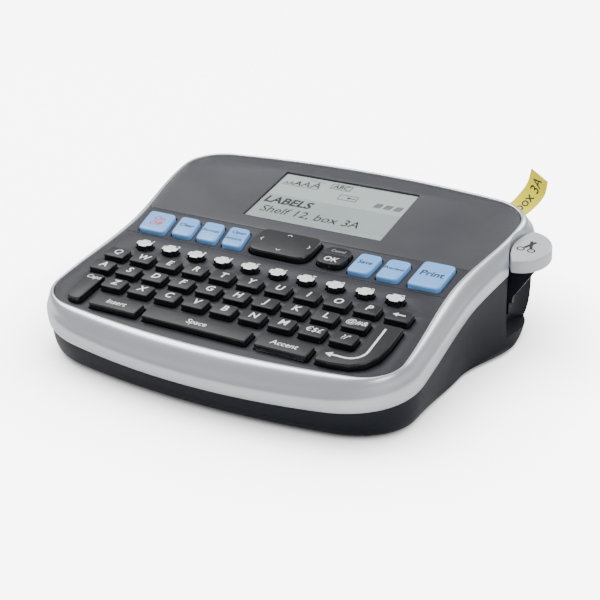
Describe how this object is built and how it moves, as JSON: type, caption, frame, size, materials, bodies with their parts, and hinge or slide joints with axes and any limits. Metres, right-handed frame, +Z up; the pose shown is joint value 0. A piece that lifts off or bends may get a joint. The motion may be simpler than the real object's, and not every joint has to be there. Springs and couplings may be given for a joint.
{
  "type": "label maker",
  "caption": "Desktop label maker: wedge-shaped body with a sloping keyboard and screen, silver rim, press-down tape cutter and a strip of printed tape.",
  "frame": {"origin": "on the table plane through the undersides of the feet, under the middle of the body", "axes": "+X to the user's right, along the key rows; +Y from the front edge to the back; +Z up"},
  "size_m": [0.1646, 0.1418, 0.0523],
  "materials": {
    "silver_rim": "satin",
    "dark_panel": "matte",
    "grey_panel": "satin",
    "base_black": "satin",
    "window_clear": "clear",
    "lcd_grey": "satin",
    "board_green": "satin",
    "mat_rubber": "matte",
    "key_white": "gloss",
    "key_black": "satin",
    "key_blue": "satin",
    "pivot_grey": "matte",
    "cutter_grey": "satin",
    "steel": "brushed",
    "gear_white": "matte",
    "brass": "polished",
    "roller_rubber": "matte",
    "head_brown": "matte",
    "ribbon_black": "gloss",
    "tape_yellow": "gloss",
    "cassette_grey": "matte",
    "battery_blue": "gloss",
    "jack_black": "gloss"
  },
  "bodies": {
    "housing": {"bottom_shell": "base_black", "rim_frame": "silver_rim", "key_panel": "dark_panel", "function_panel": "dark_panel", "screen_panel": "grey_panel", "display_window": "window_clear", "lcd_panel": "lcd_grey", "display_board": "board_green", "main_board": "board_green", "keypad_mat": "mat_rubber", "cutter_spring": "steel", "mechanism_frame": "steel", "gear_axles": "steel", "drive_motor": "steel", "print_head": "head_brown", "cassette_shell": "cassette_grey", "tape_web": "tape_yellow", "label_tape": "tape_yellow", "door_pins": "steel", "battery_pack": "battery_blue", "dc_jack": "jack_black", "rubber_feet": "roller_rubber", "case_screws": "steel"},
    "cutter": {"cutter_button": "cutter_grey", "cutter_blade": "steel"},
    "cassette_lid": {"cassette_door": "base_black"},
    "battery_lid": {"battery_door": "base_black"},
    "platen": {"platen_roller": "roller_rubber", "platen_shaft": "steel", "platen_gear": "gear_white"},
    "rear_idler": {"idler_gear_rear": "gear_white"},
    "middle_idler": {"idler_gear_middle": "gear_white"},
    "front_idler": {"idler_gear_front": "gear_white"},
    "pinion": {"motor_pinion": "brass"},
    "ribbon_drive": {"ribbon_gear": "gear_white", "ribbon_takeup": "ribbon_black"},
    "ribbon_reel": {"ribbon_supply": "ribbon_black"},
    "tape_reel": {"tape_spool": "tape_yellow"},
    "nav_rocker": {"nav_pivot": "pivot_grey"},
    "nav_pad": {"nav_pad": "key_black"},
    "number_keys_body": {"number_keys": "key_white"},
    "top_letter_keys_body": {"top_letter_keys": "key_black"},
    "home_letter_keys_body": {"home_letter_keys": "key_black"},
    "lower_letter_keys_body": {"lower_letter_keys": "key_black"},
    "caps_key_body": {"caps_key": "key_black"},
    "insert_key_body": {"insert_key": "key_black"},
    "space_key_body": {"space_key": "key_black"},
    "accent_key_body": {"accent_key": "key_black"},
    "return_key_body": {"return_key": "key_black"},
    "on_off_key_body": {"on_off_key": "key_blue"},
    "clear_key_body": {"clear_key": "key_blue"},
    "format_key_body": {"format_key": "key_blue"},
    "settings_key_body": {"settings_key": "key_blue"},
    "save_key_body": {"save_key": "key_blue"},
    "preview_key_body": {"preview_key": "key_blue"},
    "print_key_body": {"print_key": "key_blue"},
    "cancel_key_body": {"cancel_key": "key_black"},
    "ok_key_body": {"ok_key": "key_black"}
  },
  "joints": [
    {"name": "cutter_press", "type": "slide", "parent": "housing", "child": "cutter", "axis": [0, 0, -1], "range_m": [0, 0.005], "stiffness_N_per_m": 300, "springref_m": -0.003, "deforming": ["cutter_spring"]},
    {"name": "cassette_door_open", "type": "hinge", "parent": "housing", "child": "cassette_lid", "pos_m": [0.055, 0.005, 0.0042], "axis": [-1, 0, 0], "range_deg": [0, 90]},
    {"name": "battery_door_open", "type": "hinge", "parent": "housing", "child": "battery_lid", "pos_m": [-0.023, -0.0485, 0.0042], "axis": [-1, 0, 0], "range_deg": [0, 90]},
    {"name": "platen_spin", "type": "hinge", "parent": "housing", "child": "platen", "pos_m": [0.04, 0.052, 0.03179], "axis": [1, 0, 0], "continuous": true},
    {"name": "rear_idler_spin", "type": "hinge", "parent": "housing", "child": "rear_idler", "pos_m": [0.042, 0.03964, 0.02717], "axis": [1, 0, 0], "continuous": true},
    {"name": "middle_idler_spin", "type": "hinge", "parent": "housing", "child": "middle_idler", "pos_m": [0.042, 0.0224, 0.02072], "axis": [1, 0, 0], "continuous": true},
    {"name": "front_idler_spin", "type": "hinge", "parent": "housing", "child": "front_idler", "pos_m": [0.042, 0.00517, 0.01428], "axis": [1, 0, 0], "continuous": true},
    {"name": "pinion_spin", "type": "hinge", "parent": "housing", "child": "pinion", "pos_m": [0.042, -0.00645, 0.00993], "axis": [1, 0, 0], "continuous": true},
    {"name": "ribbon_drive_spin", "type": "hinge", "parent": "housing", "child": "ribbon_drive", "pos_m": [0.042, 0.03404, 0.01095], "axis": [1, 0, 0], "continuous": true},
    {"name": "ribbon_reel_spin", "type": "hinge", "parent": "housing", "child": "ribbon_reel", "pos_m": [0.055, 0.0412, 0.02359], "axis": [1, 0, 0], "continuous": true},
    {"name": "tape_reel_spin", "type": "hinge", "parent": "housing", "child": "tape_reel", "pos_m": [0.055, 0.0195, 0.0175], "axis": [1, 0, 0], "continuous": true},
    {"name": "print_key_press", "type": "slide", "parent": "housing", "child": "print_key_body", "axis": [0, 0.1822, -0.9833], "range_m": [0, 0.001], "stiffness_N_per_m": 400, "springref_m": -0.0005},
    {"name": "on_off_key_press", "type": "slide", "parent": "housing", "child": "on_off_key_body", "axis": [0, 0.1822, -0.9833], "range_m": [0, 0.001], "stiffness_N_per_m": 400, "springref_m": -0.0005},
    {"name": "nav_tilt_up_down", "type": "hinge", "parent": "housing", "child": "nav_rocker", "pos_m": [-0.00112, 0.00335, 0.02876], "axis": [1, 0, 0], "range_deg": [-3, 3], "stiffness_Nm_per_rad": 0.2},
    {"name": "nav_tilt_left_right", "type": "hinge", "parent": "nav_rocker", "child": "nav_pad", "pos_m": [-0.00112, 0.00335, 0.02876], "axis": [0, 0.9833, 0.1822], "range_deg": [-3, 3], "stiffness_Nm_per_rad": 0.2},
    {"name": "number_keys_press", "type": "slide", "parent": "housing", "child": "number_keys_body", "axis": [0, 0.1822, -0.9833], "range_m": [0, 0.001], "stiffness_N_per_m": 400, "springref_m": -0.0005},
    {"name": "top_letter_keys_press", "type": "slide", "parent": "housing", "child": "top_letter_keys_body", "axis": [0, 0.1822, -0.9833], "range_m": [0, 0.001], "stiffness_N_per_m": 400, "springref_m": -0.0005},
    {"name": "home_letter_keys_press", "type": "slide", "parent": "housing", "child": "home_letter_keys_body", "axis": [0, 0.1822, -0.9833], "range_m": [0, 0.001], "stiffness_N_per_m": 400, "springref_m": -0.0005},
    {"name": "lower_letter_keys_press", "type": "slide", "parent": "housing", "child": "lower_letter_keys_body", "axis": [0, 0.1822, -0.9833], "range_m": [0, 0.001], "stiffness_N_per_m": 400, "springref_m": -0.0005},
    {"name": "caps_key_press", "type": "slide", "parent": "housing", "child": "caps_key_body", "axis": [0, 0.1822, -0.9833], "range_m": [0, 0.001], "stiffness_N_per_m": 400, "springref_m": -0.0005},
    {"name": "insert_key_press", "type": "slide", "parent": "housing", "child": "insert_key_body", "axis": [0, 0.1822, -0.9833], "range_m": [0, 0.001], "stiffness_N_per_m": 400, "springref_m": -0.0005},
    {"name": "space_key_press", "type": "slide", "parent": "housing", "child": "space_key_body", "axis": [0, 0.1822, -0.9833], "range_m": [0, 0.001], "stiffness_N_per_m": 400, "springref_m": -0.0005},
    {"name": "accent_key_press", "type": "slide", "parent": "housing", "child": "accent_key_body", "axis": [0, 0.1822, -0.9833], "range_m": [0, 0.001], "stiffness_N_per_m": 400, "springref_m": -0.0005},
    {"name": "return_key_press", "type": "slide", "parent": "housing", "child": "return_key_body", "axis": [0, 0.1822, -0.9833], "range_m": [0, 0.001], "stiffness_N_per_m": 400, "springref_m": -0.0005},
    {"name": "clear_key_press", "type": "slide", "parent": "housing", "child": "clear_key_body", "axis": [0, 0.1822, -0.9833], "range_m": [0, 0.001], "stiffness_N_per_m": 400, "springref_m": -0.0005},
    {"name": "format_key_press", "type": "slide", "parent": "housing", "child": "format_key_body", "axis": [0, 0.1822, -0.9833], "range_m": [0, 0.001], "stiffness_N_per_m": 400, "springref_m": -0.0005},
    {"name": "settings_key_press", "type": "slide", "parent": "housing", "child": "settings_key_body", "axis": [0, 0.1822, -0.9833], "range_m": [0, 0.001], "stiffness_N_per_m": 400, "springref_m": -0.0005},
    {"name": "save_key_press", "type": "slide", "parent": "housing", "child": "save_key_body", "axis": [0, 0.1822, -0.9833], "range_m": [0, 0.001], "stiffness_N_per_m": 400, "springref_m": -0.0005},
    {"name": "preview_key_press", "type": "slide", "parent": "housing", "child": "preview_key_body", "axis": [0, 0.1822, -0.9833], "range_m": [0, 0.001], "stiffness_N_per_m": 400, "springref_m": -0.0005},
    {"name": "cancel_key_press", "type": "slide", "parent": "housing", "child": "cancel_key_body", "axis": [0, 0.1822, -0.9833], "range_m": [0, 0.001], "stiffness_N_per_m": 400, "springref_m": -0.0005},
    {"name": "ok_key_press", "type": "slide", "parent": "housing", "child": "ok_key_body", "axis": [0, 0.1822, -0.9833], "range_m": [0, 0.001], "stiffness_N_per_m": 400, "springref_m": -0.0005}
  ],
  "couplings": [
    {"joint": "rear_idler_spin", "follows": "platen_spin", "ratio": -0.43478},
    {"joint": "middle_idler_spin", "follows": "platen_spin", "ratio": 0.43478},
    {"joint": "front_idler_spin", "follows": "platen_spin", "ratio": -0.43478},
    {"joint": "pinion_spin", "follows": "platen_spin", "ratio": 1.25},
    {"joint": "ribbon_drive_spin", "follows": "platen_spin", "ratio": -0.66667},
    {"joint": "ribbon_reel_spin", "follows": "platen_spin", "ratio": -0.57143},
    {"joint": "tape_reel_spin", "follows": "platen_spin", "ratio": 0.35263}
  ]
}
